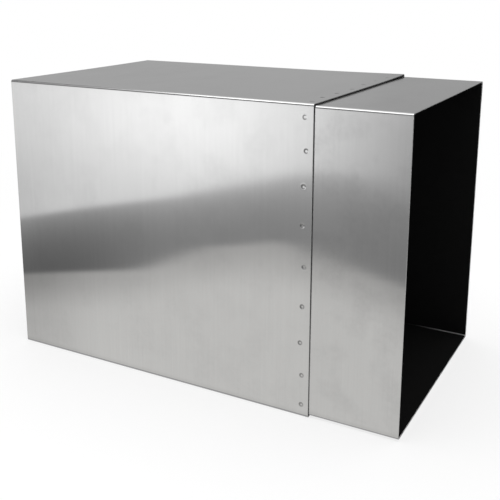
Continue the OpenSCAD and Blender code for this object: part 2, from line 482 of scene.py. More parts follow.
def new_finish(name):
    """New node material, its tree and its Principled BSDF."""
    finish = bpy.data.materials.new(name)
    finish.use_nodes = True
    tree = finish.node_tree
    return finish, tree, tree.nodes["Principled BSDF"]


def bump_on(tree, bsdf, height, strength, distance):
    """Bump from a height, feeding the finish's Normal."""
    bump = {"Strength": strength, "Distance": distance, "Height": height}
    fill(tree, bsdf.inputs["Normal"], placed(tree, "ShaderNodeBump", bump).outputs["Normal"])


def drawn_along(finish, amount):
    """Draws a rolled or brushed sheet's reflections out along the duct, across its lines."""
    tree = finish.node_tree
    bsdf = tree.nodes["Principled BSDF"]
    bsdf.inputs["Anisotropic"].default_value = amount
    tangent = placed(tree, "ShaderNodeTangent", direction_type="UV_MAP", uv_map="Blank")
    fill(tree, bsdf.inputs["Tangent"], tangent.outputs[0])


def brushed_steel(name, level, lines_across, blotch_size, smears):
    """Brushed stainless: grain across the duct, reflections drawn out along it."""
    finish, tree, bsdf = new_finish(name)
    bsdf.inputs["Metallic"].default_value = 1.0
    grain = placed(tree, "ShaderNodeGroup", {
        "Lines Across": lines_across, "Lines Along": 5.5, "Blotch Size": blotch_size,
    }, node_tree=grain_group).outputs
    cut_edge = attribute_value(tree, "cut_edge")
    rub_and_seam_shade = mask_of(tree, rub_and_seam_shade_group, {"Edge": cut_edge, "Breakup": 160.0, "Amount": 1.4})
    dust = mask_of(tree, dust_group, {"Patch Size": 11.0, "Amount": 0.25})
    smear = mask_of(tree, smear_group, {
        "Patch Size": blotch_size * 3.0, "Stretch": 2.2, "Amount": smears,
    })
    # weld_ring: heat tint of the welds, with painted shade on one side of each mark
    weld = attribute_value(tree, "weld_ring")
    body = colour_mix(tree, grain["Lines"], grey(level * 0.93), grey(level * 1.07))
    fill(tree, bsdf.inputs["Base Color"], coated(
        tree, body,
        (grain["Blotches"], 0.10, grey(level * 0.80)),
        (smear, 1.0, grey(level * 0.80)),
        (rub_and_seam_shade, 1.0, grey(level * 0.90)),
        # cut edges darker: partly real rubbing, partly painted shade for the seams
        (weld, 1.0, grey(level * 0.20)),
        (dust, 0.25, grey(0.42)),
    ))
    fill(tree, bsdf.inputs["Roughness"], summed(
        tree, 0.055, (grain["Lines"], 0.04), (rub_and_seam_shade, 0.12), (grain["Blotches"], 0.02),
        (smear, 0.06), (weld, 0.04), (dust, 0.08),
    ))
    bump_on(tree, bsdf, grain["Height"], 0.03, 0.00002)
    drawn_along(finish, 1.0)
    return finish


def mill_steel(name, level, lines_across, lines_along, least_rough):
    """Cold-rolled stainless straight from the mill: dull, with faint rolling lines."""
    finish, tree, bsdf = new_finish(name)
    bsdf.inputs["Metallic"].default_value = 1.0
    grain = placed(tree, "ShaderNodeGroup", {
        "Lines Across": lines_across, "Lines Along": lines_along, "Blotch Size": 30.0,
    }, node_tree=grain_group).outputs
    dust = mask_of(tree, dust_group, {"Patch Size": 30.0, "Amount": 0.5})
    body = colour_mix(tree, grain["Lines"], grey(level * 0.85), grey(level * 1.15))
    fill(tree, bsdf.inputs["Base Color"], coated(tree, body, (dust, 0.4, grey(0.12))))
    fill(tree, bsdf.inputs["Roughness"], summed(tree, least_rough, (grain["Blotches"], 0.18)))
    bump_on(tree, bsdf, grain["Height"], 0.08, 0.00004)
    return finish


# Row of spot welds: a Geometry Nodes tree that sets out the row and presses each dish
DISH_R = 0.00275
DISH_FLAT_R = 0.0015
DISH_DEPTH = 0.00022
DISH_RIM = 0.00002
RIM_REACH = 1.45
PRESS_RANGE = (0.5, 1.15)
PRESS_LEAN = 0.3
SCORCH_RANGE = (0.45, 1.0)
SCORCH_FADE = 0.62
LEAN_UPRIGHT = (-0.75, 0.0, 0.66)
LEAN_ACROSS = (-0.75, 0.66, 0.0)
LEAN_SEAM = (0.66, 0.0, 0.75)

weld_tree = bpy.data.node_groups.new("Weld row", "GeometryNodeTree")
weld_tree.is_modifier = True
for kind, labels in (
    ("Geometry", ["Geometry"]),
    ("Int", ["Marks"]),
    ("Vector", ["Row Start", "Row End"]),
    ("Float", ["Crowding", "Stray", "Stray Start", "Stray Step"]),
    ("Float", ["Dish Radius", "Flat Radius", "Dish Depth", "Rim Height"]),
    ("Vector", ["Lean"]),
    ("Int", ["Seed"]),
    ("Material", ["Metal"]),
):
    for label in labels:
        weld_tree.interface.new_socket(label, in_out="INPUT", socket_type="NodeSocket" + kind)
weld_tree.interface.new_socket("Geometry", in_out="OUTPUT", socket_type="NodeSocketGeometry")
given = weld_tree.nodes.new("NodeGroupInput").outputs
result = weld_tree.nodes.new("NodeGroupOutput").inputs
weld_node = partial(placed, weld_tree)
weld_math = partial(math_node, weld_tree)
weld_times = partial(times, weld_tree)
weld_vector = partial(vector_node, weld_tree)

# The middle of each mark: evenly along the row, crowded together, and strayed to the side
index = weld_node("GeometryNodeInputIndex").outputs[0]
last_mark = weld_math("SUBTRACT", given["Marks"], 1.0)
share = weld_math("DIVIDE", index, last_mark)
row_way = weld_vector("SUBTRACT", given["Row End"], given["Row Start"])
even = weld_vector("ADD", given["Row Start"], weld_vector("SCALE", row_way, scale=share))
crowd_wave = weld_math("SINE", weld_times(share, 2 * math.pi))
crowded = weld_times(crowd_wave, -1.0, given["Crowding"])
row_ahead = weld_vector("NORMALIZE", row_way)
along_row = weld_vector("ADD", even, weld_vector("SCALE", row_ahead, scale=crowded))
stray_turn = weld_math("MULTIPLY_ADD", index, given["Stray Step"], given["Stray Start"])
stray_by = weld_times(weld_math("SINE", stray_turn), given["Stray"])
strayed = weld_node("ShaderNodeCombineXYZ", {"X": stray_by}).outputs[0]
marks = weld_node("GeometryNodePoints", {
    "Count": given["Marks"], "Position": weld_vector("ADD", along_row, strayed),
}).outputs[0]

# How far each point of the sheet is from its nearest mark, and on which side of it
position = weld_node("GeometryNodeInputPosition").outputs[0]
nearest = weld_node("GeometryNodeSampleNearest", {"Geometry": marks}, domain="POINT").outputs[0]
mark_place = weld_node("GeometryNodeSampleIndex", {
    "Geometry": marks, "Value": position, "Index": nearest,
}, data_type="FLOAT_VECTOR").outputs[0]
distance = weld_vector("DISTANCE", position, mark_place)
from_mark = weld_vector("SUBTRACT", position, mark_place)
lean_side = weld_vector("DOT_PRODUCT", from_mark, given["Lean"])
lean_share = weld_math("DIVIDE", lean_side, given["Dish Radius"])


def fading(start_radius, start_share, end_radius, end_share):
    """1 in the middle of a mark, 0 outside, smooth between those shares of its radii."""
    return weld_node("ShaderNodeMapRange", {
        "Value": distance,
        "From Min": weld_times(given[start_radius], start_share),
        "From Max": weld_times(given[end_radius], end_share),
        "To Min": 1.0,
        "To Max": 0.0,
    }, interpolation_type="SMOOTHSTEP").outputs[0]


def random_share(least, most, seed):
    """A factor of its own for each mark."""
    return weld_node("FunctionNodeRandomValue", {
        2: least, 3: most, "ID": nearest, "Seed": seed,
    }, data_type="FLOAT").outputs[1]


def stored_value(name):
    """A value that is stored on the sheet's points."""
    named = weld_node("GeometryNodeInputNamedAttribute", {"Name": name}, data_type="FLOAT")
    return named.outputs["Attribute"]


# The dish is pressed in deeper on the side that it leans to, and the rim round it stands up
outside = stored_value("outside")
dish = fading("Flat Radius", 1.0, "Dish Radius", 1.0)
to_rim = fading("Dish Radius", 1.0, "Dish Radius", RIM_REACH)
rim_share = weld_math("SUBTRACT", to_rim, dish)
pressed = random_share(*PRESS_RANGE, given["Seed"])
leaned = weld_math("MULTIPLY_ADD", lean_share, PRESS_LEAN, pressed)
sunk = weld_times(dish, leaned, given["Dish Depth"], -1.0)
raised = weld_math("MULTIPLY_ADD", rim_share, given["Rim Height"], sunk)
normal = weld_node("GeometryNodeInputNormal").outputs[0]
pressing = weld_node("GeometryNodeSetPosition", {
    "Geometry": given["Geometry"],
    "Offset": weld_vector("SCALE", normal, scale=weld_times(raised, outside)),
}).outputs[0]

# The scorch is a ring of heat tint, fainter towards the end of the row. It is darker on the side
# that the mark leans to, which is painted shade of the dish's slope.
whole_scorch = fading("Dish Radius", 0.86, "Dish Radius", 1.12)
clean_middle = fading("Flat Radius", 0.35, "Flat Radius", 0.95)
ring = weld_math("SUBTRACT", whole_scorch, clean_middle)
# darker on the leaning side: painted shade
painted_shade_side = weld_math("MULTIPLY_ADD", lean_share, 0.30, 0.74, clamp=True)
scorched = random_share(*SCORCH_RANGE, weld_math("ADD", given["Seed"], 100.0))
how_late = weld_math("POWER", weld_math("DIVIDE", nearest, last_mark), 4.0)
cleaner = weld_math("MULTIPLY_ADD", how_late, -SCORCH_FADE, 1.0)
new_ring = weld_times(ring, painted_shade_side, scorched, cleaner, outside)
storing = weld_node("GeometryNodeStoreNamedAttribute", {
    "Geometry": pressing,
    "Name": "weld_ring",
    "Value": weld_math("MAXIMUM", new_ring, stored_value("weld_ring")),
}, data_type="FLOAT", domain="POINT").outputs[0]
realised = weld_node("GeometryNodeRealizeInstances", {0: storing}).outputs[0]
outer_faces = weld_node("GeometryNodeMaterialSelection", {"Material": given["Metal"]}).outputs[0]
set_metal = weld_node("GeometryNodeSetMaterial", {
    "Geometry": realised, "Selection": outer_faces, "Material": given["Metal"],
})
fill(weld_tree, result[0], set_metal.outputs[0])


def press_row(piece, start, end, lean, seed, hand_first=None):
    """One row of spot welds pressed into a sheet, set by hand where hand_first is given.
    The tree's inputs are set before it is first worked out."""
    by_hand = hand_first is not None
    values = {
        "Marks": weld_steps((Vector(end) - Vector(start)).length) + 1,
        "Row Start": start,
        "Row End": end,
        "Crowding": ROW_CROWD if by_hand else 0.0,
        "Stray": ROW_STRAY if by_hand else 0.0,
        "Stray Start": STRAY_START + STRAY_STEP * (hand_first or 0),
        "Stray Step": STRAY_STEP,
        "Dish Radius": DISH_R,
        "Flat Radius": DISH_FLAT_R,
        "Dish Depth": DISH_DEPTH,
        "Rim Height": DISH_RIM,
        "Lean": lean,
        "Seed": seed,
        "Metal": piece.data.materials[0],
    }
    modifier = piece.modifiers.new(weld_tree.name, "NODES")
    modifier.node_group = weld_tree
    for item in weld_tree.interface.items_tree:
        if item.item_type == "SOCKET" and item.in_out == "INPUT" and item.name in values:
            modifier[item.identifier] = values[item.name]


def press_seams(piece, low, high, start, end, seeds):
    """The even rows of welds along both rear flanges of a folded sheet."""
    heights = (low.z + FLANGE_W / 2, high.z - FLANGE_W / 2)
    for z, seed in zip(heights, seeds):
        press_row(piece, (start + ROW_END, high.y, z), (end - ROW_END, high.y, z),
                  LEAN_SEAM, seed)


def made_plain(piece):
    """The piece with its modifiers worked out into a plain mesh and taken off."""
    graph = bpy.context.evaluated_depsgraph_get()
    plain = bpy.data.meshes.new_from_object(piece.evaluated_get(graph))
    plain.name = piece.name
    old = piece.data
    piece.modifiers.clear()
    piece.data = plain
    bpy.data.meshes.remove(old)


def casing_dish(x, leg, share):
    """How far a flat leg of the casing has dished in."""
    return panel_dish(x, leg, share, casing_low.x, casing_high.x)


def on_casing(x, run):
    """Place and way out on the casing's outer face, with its dishing and its sprung top."""
    point, way = folded_place(x, run, casing_low, casing_high, casing_dish)
    point.z += top_spring(x, point.y, point.z)
    return point, way


casing_metal = brushed_steel("Brushed stainless, casing", 0.60, 300.0, 7.0, 0.35)
inside_metal = mill_steel("Mill stainless, inside", 0.55, 260.0, 30.0, 0.56)
drawn_along(inside_metal, 0.85)

row_x = casing_high.x - ROW_INSET
seam_end = casing_high.x - ROW_END
starts = leg_starts(casing_low, casing_high)
casing_welds = []
for z, side in set_places(casing_low.z, casing_high.z, 0):
    casing_welds.append((row_x + side, starts[2] + casing_high.z - FOLD_R - z))
for y, side in set_places(casing_low.y, casing_high.y, 1):
    casing_welds.append((row_x + side, starts[1] + casing_high.y - FOLD_R - y))
    casing_welds.append((row_x + side, starts[3] + y - casing_low.y - FOLD_R))
casing_welds += seam_welds(casing_low, casing_high, casing_low.x, seam_end)
casing_blank = sheared_blank(even_lines(casing_low.x, casing_high.x, GRID_STEP),
                             round_section(casing_low, casing_high), casing_welds)
casing_sheet = shaped_sheet("casing_sheet", casing_blank, on_casing,
                            (casing_metal, inside_metal))
press_row(casing_sheet, (row_x, casing_low.y, casing_low.z + ROW_END),
          (row_x, casing_low.y, casing_high.z - ROW_END), LEAN_UPRIGHT, 2171, 0)
for z, seed in ((casing_high.z, 5), (casing_low.z, 8)):
    press_row(casing_sheet, (row_x, casing_low.y + ROW_END, z),
              (row_x, casing_high.y - ROW_END, z), LEAN_ACROSS, seed, 1)
press_seams(casing_sheet, casing_low, casing_high, casing_low.x, seam_end, (13, 21))
made_plain(casing_sheet)
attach(casing_sheet, "casing")
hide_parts("casing_wrap")

# ---------------------------------------------------------------------------------------------
# 2  Casing back panel
# A flat sheet of the same stainless, spot welded inside the two rear flanges, with two holes
# for wall screws. The mouth's row of welds goes on across it between the flanges.

HOLE_R = 0.00275
HOLE_INSET = 0.025
HOLE_SPAN = 0.240
BESIDE_FLANGE = 0.024
BESIDE_FADE = 0.05

back_low, back_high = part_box("casing_back")


def flat_blank(low, high, welds=(), holes=()):
    """Blank of a flat upright panel."""
    across = even_lines(low.x, high.x, GRID_STEP)
    return sheared_blank(across, even_lines(low.z, high.z, GRID_STEP), welds, holes)


def on_casing_back(x, z):
    """Place and way out on the outer face of the casing's back panel."""
    share = (z - back_low.z) / (back_high.z - back_low.z)
    dish = panel_dish(x, 2, share, back_low.x, back_high.x)
    from_end = min(z - back_low.z, back_high.z - z)
    dish *= clamped((from_end - BESIDE_FLANGE) / BESIDE_FADE)
    return Vector((x, back_high.y - dish, z)), Vector((0.0, 1.0, 0.0))


middle_z = (casing_low.z + casing_high.z) / 2
hole_x = casing_low.x + HOLE_INSET
screw_holes = [(hole_x, middle_z + side * HOLE_SPAN / 2, HOLE_R) for side in (-1, 1)]
panel_welds = []
for z, side in set_places(casing_low.z, casing_high.z, 0):
    if FLANGE_W + DISH_R < z < casing_high.z - FLANGE_W - DISH_R:
        panel_welds.append((row_x + side, z))
back_blank = flat_blank(back_low, back_high, panel_welds, screw_holes)
casing_panel = shaped_sheet("casing_panel", back_blank, on_casing_back,
                            (casing_metal, inside_metal))
press_row(casing_panel, (row_x, back_high.y, casing_low.z + ROW_END),
          (row_x, back_high.y, casing_high.z - ROW_END), LEAN_UPRIGHT, 34, 0)
made_plain(casing_panel)
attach(casing_panel, "casing")
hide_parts("casing_back")

# ---------------------------------------------------------------------------------------------
# 3  Guide strips in the casing's mouth
# Four strips of plain mill-finish stainless, spot welded inside the casing's mouth. The sleeve
# slides on them. The top one has sprung up with the sheet that it is welded to.

# The strips' steel is darker than the other mill steel (0.36 against 0.55), which paints shade
# into the seam at the casing's mouth
seam_shade_strip_metal = mill_steel("Mill stainless", 0.36, 40.0, 260.0, 0.36)
strip_low, strip_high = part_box("mouth_strip_top")
STRIP_STEP_ACROSS = 0.005
STRIP_STEP_ALONG = 0.009


def on_top_strip(x, y):
    """Place and way out on the top strip, which follows the sprung sheet above it."""
    lift = top_spring(x, y, casing_high.z)
    return Vector((x, y, strip_low.z + lift)), Vector((0.0, 0.0, -1.0))


def set_finish(finish, *node_names):
    """Puts a finish on the material slots of CAD nodes."""
    for node_name in node_names:
        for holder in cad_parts[node_name].material_slots:
            holder.material = finish


strip_blank = sheared_blank(even_lines(strip_low.x, strip_high.x, STRIP_STEP_ACROSS),
                            even_lines(strip_low.y, strip_high.y, STRIP_STEP_ALONG))
top_strip = shaped_sheet("mouth_strip_top_sprung", strip_blank, on_top_strip,
                         (seam_shade_strip_metal, seam_shade_strip_metal))
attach(top_strip, "casing")
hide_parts("mouth_strip_top")
set_finish(seam_shade_strip_metal, "mouth_strip_front", "mouth_strip_bottom", "mouth_strip_back")

# ---------------------------------------------------------------------------------------------
# 4  Sleeve sheet
# The inner section: a sheet folded the same way, 1.1 mm clear of the casing all round. It
# slides in the casing's mouth, and its own rear seam is spot welded like the casing's.

PAINTED_SHADE_TO_X = 0.178
NO_SHADE_FROM_X = 0.236

sleeve_low, sleeve_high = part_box("sleeve_wrap")
_, tail_strip_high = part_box("tail_strip_back")
sleeve_metal = brushed_steel("Brushed stainless, sleeve", 0.58, 280.0, 9.0, 0.6)

# Inside the sleeve the bare steel is near white and barely metallic, a painted highlight for the
# light line in the corner near the mouth; deep in the sleeve it turns black, as painted shade
duct_metal_painted_light = mill_steel("Mill stainless, sleeve inside, painted light", 0.95, 260.0, 30.0, 0.5)
tree = duct_metal_painted_light.node_tree
bsdf = tree.nodes["Principled BSDF"]
bsdf.inputs["Metallic"].default_value = 0.1
bare = bsdf.inputs["Base Color"].links[0].from_socket
spot = placed(tree, "ShaderNodeTexCoord").outputs["Object"]
unshaded = placed(tree, "ShaderNodeMapRange", {
    "Value": placed(tree, "ShaderNodeSeparateXYZ", {0: spot}).outputs["X"],
    "From Min": PAINTED_SHADE_TO_X,
    "From Max": NO_SHADE_FROM_X,
}, interpolation_type="SMOOTHSTEP").outputs[0]
# black deep in the sleeve, pale towards the mouth: painted shade and painted light
fill(tree, bsdf.inputs["Base Color"], colour_mix(tree, unshaded, grey(0.004), bare))


def sleeve_dish(x, leg, share):
    """How far a flat leg of the sleeve has dished in: half as far as the casing, and evenly."""
    if leg in (0, 4):
        return 0.0
    return 0.5 * PANEL_DISH * math.sin(math.pi * share) ** 2


def on_sleeve(x, run):
    """Place and way out on the sleeve's outer face, dished in a little between its folds."""
    return folded_place(x, run, sleeve_low, sleeve_high, sleeve_dish)


seam_span = (tail_strip_high.x, sleeve_high.x)
sleeve_blank = sheared_blank(even_lines(sleeve_low.x, sleeve_high.x, GRID_STEP),
                             round_section(sleeve_low, sleeve_high),
                             seam_welds(sleeve_low, sleeve_high, *seam_span))
sleeve_sheet = shaped_sheet("sleeve_sheet", sleeve_blank, on_sleeve,
                            (sleeve_metal, duct_metal_painted_light))
press_seams(sleeve_sheet, sleeve_low, sleeve_high, *seam_span, (55, 89))
made_plain(sleeve_sheet)
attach(sleeve_sheet, "sleeve")
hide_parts("sleeve_wrap")

# ---------------------------------------------------------------------------------------------
# 5  Sleeve back panel
# A flat sheet of the same stainless, spot welded inside the sleeve's rear flanges. It is plain,
# without holes.

panel_low, panel_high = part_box("sleeve_back")


def on_sleeve_back(x, z):
    """Place and way out on the outer face of the sleeve's back panel."""
    return Vector((x, panel_high.y, z)), Vector((0.0, 1.0, 0.0))


sleeve_panel = shaped_sheet("sleeve_panel", flat_blank(panel_low, panel_high), on_sleeve_back,
                            (sleeve_metal, duct_metal_painted_light))
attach(sleeve_panel, "sleeve")
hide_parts("sleeve_back")

# ---------------------------------------------------------------------------------------------
# 6  Stop strips round the sleeve's tail
# Strips of the same mill-finish stainless, spot welded to the outside of the sleeve. They meet
# the guide strips when the sleeve is drawn out, and keep it in the casing.

set_finish(seam_shade_strip_metal, "tail_strip_front", "tail_strip_top", "tail_strip_bottom",
           "tail_strip_back")

# ---------------------------------------------------------------------------------------------
# 7  Felt tape behind the stop strips
# Self-adhesive grey felt, as thick as the strips, stuck round the outside of the sleeve's tail.
# It holds the sleeve by friction and keeps the tail from rattling.

felt, tree, bsdf = new_finish("Grey felt")
bsdf.inputs["Roughness"].default_value = 0.95
bsdf.inputs["Specular IOR Level"].default_value = 0.15
bsdf.inputs["Sheen Weight"].default_value = 0.25
fibres = scaled_noise(tree, (1800.0, 1500.0, 1500.0), 4.0, 0.7)
clumps = scaled_noise(tree, (160.0, 120.0, 120.0), 3.0, 0.6)
dust = mask_of(tree, dust_group, {"Patch Size": 60.0, "Amount": 0.6})
body = colour_mix(tree, fibres, (0.045, 0.045, 0.047, 1.0), (0.17, 0.17, 0.175, 1.0))
body = coated(tree, body, (clumps, 0.4, grey(0.08)), (dust, 0.3, grey(0.3)))
fill(tree, bsdf.inputs["Base Color"], body)
bump_on(tree, bsdf, fibres, 0.6, 0.0004)
set_finish(felt, "tail_felt_front", "tail_felt_top", "tail_felt_bottom", "tail_felt_back")

# ---------------------------------------------------------------------------------------------
# 8  Black lining in the sleeve
# Thin sheets of black sound-deadening board, one glued to each wall of the sleeve. They stop
# 2 mm short of the corners, where a line of bare steel shows.

lining, tree, bsdf = new_finish("Black lining")
bsdf.inputs["Specular IOR Level"].default_value = 0.02
crumb = scaled_noise(tree, (900.0, 900.0, 900.0), 4.0, 0.65)
patches = scaled_noise(tree, (22.0, 22.0, 22.0), 3.0, 0.55)
dust = mask_of(tree, dust_group, {"Patch Size": 24.0, "Amount": 0.2})
body = colour_mix(tree, crumb, grey(0.0043), grey(0.0090))
body = coated(tree, body, (patches, 0.3, grey(0.0066)), (dust, 0.02, grey(0.2)))
fill(tree, bsdf.inputs["Base Color"], body)
fill(tree, bsdf.inputs["Roughness"], summed(tree, 0.68, (patches, 0.2)))
bump_on(tree, bsdf, crumb, 0.35, 0.0002)
set_finish(lining, "lining_front", "lining_top", "lining_bottom", "lining_back")

# ---------------------------------------------------------------------------------------------
# 9  Camera, floor and light
# A plain pale floor under one large soft lamp, with soft boxes and flags that only the metal
# mirrors, as a studio sets them round a brushed piece.

CAMERA_SPOT = (0.4647, -0.8554, 0.4572)
CAMERA_TILT = 12.95
CAMERA_ROLL = -0.12
CAMERA_TURN = 28.44

camera_data = bpy.data.cameras.new("camera")
camera_data.lens = 57.68
camera_data.sensor_width = 36.0
camera_data.shift_x = 0.0
camera_data.shift_y = -0.17
camera_data.clip_end = 60.0
camera = bpy.data.objects.new("camera", camera_data)
camera.location = CAMERA_SPOT
camera.rotation_euler = [math.radians(turn) for turn in
                         (90.0 - CAMERA_TILT, CAMERA_ROLL, CAMERA_TURN)]
bpy.context.scene.collection.objects.link(camera)
bpy.context.scene.camera = camera
bpy.context.scene.view_settings.view_transform = "Standard"


def seen_background(tree):
    """1 for what the camera, a mirror or glass sees directly, else 0."""
    path = tree.nodes.new("ShaderNodeLightPath").outputs
    seen = math_node(tree, "MAXIMUM", path["Is Camera Ray"], path["Is Glossy Ray"])
    return math_node(tree, "MAXIMUM", seen, path["Is Transmission Ray"])


def mixed_shader(tree, share, first, second):
    """Shader between two shaders."""
    return placed(tree, "ShaderNodeMixShader", {0: share, 1: first, 2: second}).outputs[0]


# The world lights the object evenly, and is white where it is seen
world = bpy.data.worlds.new("Studio")
bpy.context.scene.world = world
world.use_nodes = True
tree = world.node_tree
ambient = tree.nodes["Background"]
ambient.inputs["Color"].default_value = grey(1.0)
ambient.inputs["Strength"].default_value = 0.5
white = placed(tree, "ShaderNodeBackground", {"Color": grey(1.0), "Strength": 1.0})
shown = mixed_shader(tree, seen_background(tree), ambient.outputs[0], white.outputs[0])
fill(tree, tree.nodes["World Output"].inputs["Surface"], shown)


def staged_mesh(name, verts, faces, finish):
    """A plain mesh of the studio, not of the object."""
    mesh = bpy.data.meshes.new(name)
    mesh.from_pydata(verts, [], faces)
    mesh.update()
    mesh.materials.append(finish)
    piece = bpy.data.objects.new(name, mesh)
    bpy.context.scene.collection.objects.link(piece)
    return piece


# The floor turns to plain white away from the object, where it is seen
FLOOR_HALF = 14.0
SHADOW_REACH = 0.35
WHITE_FROM = 1.3
floor_finish, tree, bsdf = new_finish("Pale floor")
bsdf.inputs["Roughness"].default_value = 0.8
bsdf.inputs["Specular IOR Level"].default_value = 0.1
cloud = scaled_noise(tree, (3.0, 3.0, 3.0), 3.0, 0.5)
fill(tree, bsdf.inputs["Base Color"], colour_mix(tree, cloud, grey(0.90), grey(0.92)))
glow = placed(tree, "ShaderNodeEmission", {"Color": grey(1.0), "Strength": 1.0})
spot = placed(tree, "ShaderNodeTexCoord").outputs["Object"]
whiter = placed(tree, "ShaderNodeMapRange", {
    "Value": vector_node(tree, "LENGTH", spot),
    "From Min": SHADOW_REACH,
    "From Max": WHITE_FROM,
    "To Min": 0.72,
    "To Max": 1.0,
}, interpolation_type="SMOOTHSTEP").outputs[0]
lit = mixed_shader(tree, whiter, bsdf.outputs[0], glow.outputs[0])
shown = mixed_shader(tree, seen_background(tree), bsdf.outputs[0], lit)
fill(tree, tree.nodes["Material Output"].inputs["Surface"], shown)
corners = [(FLOOR_HALF * x, FLOOR_HALF * y, 0.0) for x, y in ((-1, -1), (1, -1), (1, 1), (-1, 1))]
staged_mesh("floor", corners, [(0, 1, 2, 3)], floor_finish)

# The lamp lights the floor and the dull pieces. The metal mirrors the cards in its place
LAMP_SIZE = 2.4
LAMP_HEIGHT = 2.3
LAMP_POWER = 50.0
lamp_data = bpy.data.lights.new("overhead soft box", "AREA")
lamp_data.shape = "SQUARE"
lamp_data.size = LAMP_SIZE
lamp_data.energy = LAMP_POWER
lamp = bpy.data.objects.new("overhead soft box", lamp_data)
lamp.location = (0.0, -0.1, LAMP_HEIGHT)
lamp.visible_glossy = False
bpy.context.scene.collection.objects.link(lamp)


def glowing_finish(name):
    """New material of plain light, its tree, and the socket for its colour."""
    finish = bpy.data.materials.new(name)
    finish.use_nodes = True
    tree = finish.node_tree
    tree.nodes.clear()
    light = tree.nodes.new("ShaderNodeEmission")
    placed(tree, "ShaderNodeOutputMaterial", {"Surface": light.outputs[0]})
    return finish, tree, light.inputs["Color"]


def mirror_only(piece):
    """Makes a staged piece something that only mirrors see."""
    for ray in ("camera", "diffuse", "shadow", "transmission", "volume_scatter"):
        setattr(piece, "visible_" + ray, False)


def graded(tree, place, stops):
    """Level that follows stops, each a place from 0 to 1 and the level there."""
    ramp = placed(tree, "ShaderNodeValToRGB", {0: place})
    elements = ramp.color_ramp.elements
    ramp.color_ramp.interpolation = "EASE"
    while len(elements) < len(stops):
        elements.new(0.5)
    for element, (stop, level) in zip(elements, stops):
        element.position = stop
        element.color = grey(level)
    return ramp.outputs[0]


def card(name, near, far, levels, across=((0.0, 1.0), (1.0, 1.0))):
    """Card between two edges that only the metal mirrors: its levels go by stops from the near
    edge to the far one, times those across it."""
    finish, tree, colour = glowing_finish(name)
    uv = placed(tree, "ShaderNodeUVMap", uv_map="Card").outputs[0]
    split = placed(tree, "ShaderNodeSeparateXYZ", {0: uv}).outputs
    fill(tree, colour, vector_node(tree, "MULTIPLY", graded(tree, split["Y"], levels),
                                   graded(tree, split["X"], across)))
    piece = staged_mesh(name, [*near, *far], [(0, 1, 3, 2)], finish)
    layer = piece.data.uv_layers.new(name="Card")
    for loop in piece.data.loops:
        layer.data[loop.index].uv = (loop.vertex_index % 2, loop.vertex_index // 2)
    mirror_only(piece)


# Graded sweep before the front: a fan of floor card that turns up into a soft box at its far
# end. It is laid out by where this camera sees each part of it mirrored in the front: a share
# of the casing's length, from its rear end, and a share of its height, from the top.
FAN_POINT = Vector((CAMERA_SPOT[0], 2 * casing_low.y - CAMERA_SPOT[1]))
FAN_HEIGHT = CAMERA_SPOT[2]
FAN_FROM = -0.9
FAN_SPAN = 3.4
FAN_COLUMNS = 68
FAN_ROWS = 260
FAN_HIGHEST = 0.99
FAN_CROWD = 1.25
SWEEP_Z = 0.003
SWEEP_RISER = 0.55
RISER_ROWS = 6
RISER_DIM = 0.60
WARM_GREEN = 0.008
WARM_BLUE = 0.030


def sweep_level(along, down):
    """Light level of the sweep where it is mirrored at those shares of the front, and how warm.
    A bright part above, a dark band that slopes across, and a lit part below it."""
    upper_edge = 0.517 - 0.290 * along - 0.080 * max(0.0, along - 0.6)
    upper_edge = max(upper_edge, 0.205)
    lower_edge = 0.738 - 0.25 * along - 0.068 * smooth(0.42, 0.72, along)
    lower_edge -= 0.10 * max(0.0, along - 0.8)
    lower_edge = max(lower_edge, 0.443 + 0.24 * (along - 0.95))
    upper_soft = 0.008 + 0.012 * smooth(0.6, 1.0, along)
    lower_soft = 0.007 + 0.012 * math.exp(-((along - 0.52) / 0.12) ** 2)

    # Bright part: strongest past the middle, dimmer towards the band and past the mouth
    bright = 1.05 + 0.78 * math.exp(-((along - 0.63) / 0.36) ** 2)
    bright *= 1.0 - 0.095 * smooth(0.25, 0.55, along)
    bright *= 1.0 - (0.20 + 0.14 * smooth(0.15, 0.6, along)) * smooth(0.05, 0.42, down)
    bright *= 1.0 - 0.5 * smooth(1.0, 1.5, along)
    bright *= 1.0 - 0.08 * smooth(0.98, 1.05, along) * smooth(0.02, 0.08, down)

    # Dark band: fades down from its upper edge, and is lighter towards the mouth
    into_band = max(0.0, (down - upper_edge) / (lower_edge - upper_edge))
    band = 0.136 + 0.197 * smooth(0.12, 0.7, along)
    band += 0.014 * (1.0 - smooth(0.0, 0.15, along))
    band *= 1.0 - 0.18 * smooth(1.0, 1.25, along)
    fall = 2.7 + 0.6 * smooth(0.1, 0.4, along)
    band *= 1.0 + (2.4 - 1.15 * smooth(0.15, 0.5, along)) * math.exp(-fall * into_band)

    # Lit part: dimmer close under the band and towards the rear end
    near = 0.585 + 0.265 * smooth(0.0, 0.40, along)
    near += 0.12 * smooth(lower_edge, lower_edge + 0.3, down) * (1.0 - smooth(0.0, 0.5, along))
    dimmer = 0.29 + 0.05 * (1.0 - smooth(0.0, 0.3, along))
    dimmer -= 0.06 * math.exp(-((along - 0.52) / 0.13) ** 2)
    near *= 1.0 - dimmer * (1.0 - smooth(0.0, 0.17, down - lower_edge))

    above = 1.0 - smooth(upper_edge - upper_soft, upper_edge + upper_soft, down)
    below = smooth(lower_edge - lower_soft, lower_edge + lower_soft, down)
    level = band + (bright - band) * above
    level += (near - level) * below
    camera_side = smooth(1.15, 1.55, along) * (1.0 - 0.85 * smooth(0.45, 0.8, down))
    level += (0.30 - level) * camera_side
    return level * (1.0 - 0.07 * smooth(0.984, 0.997, down)), below


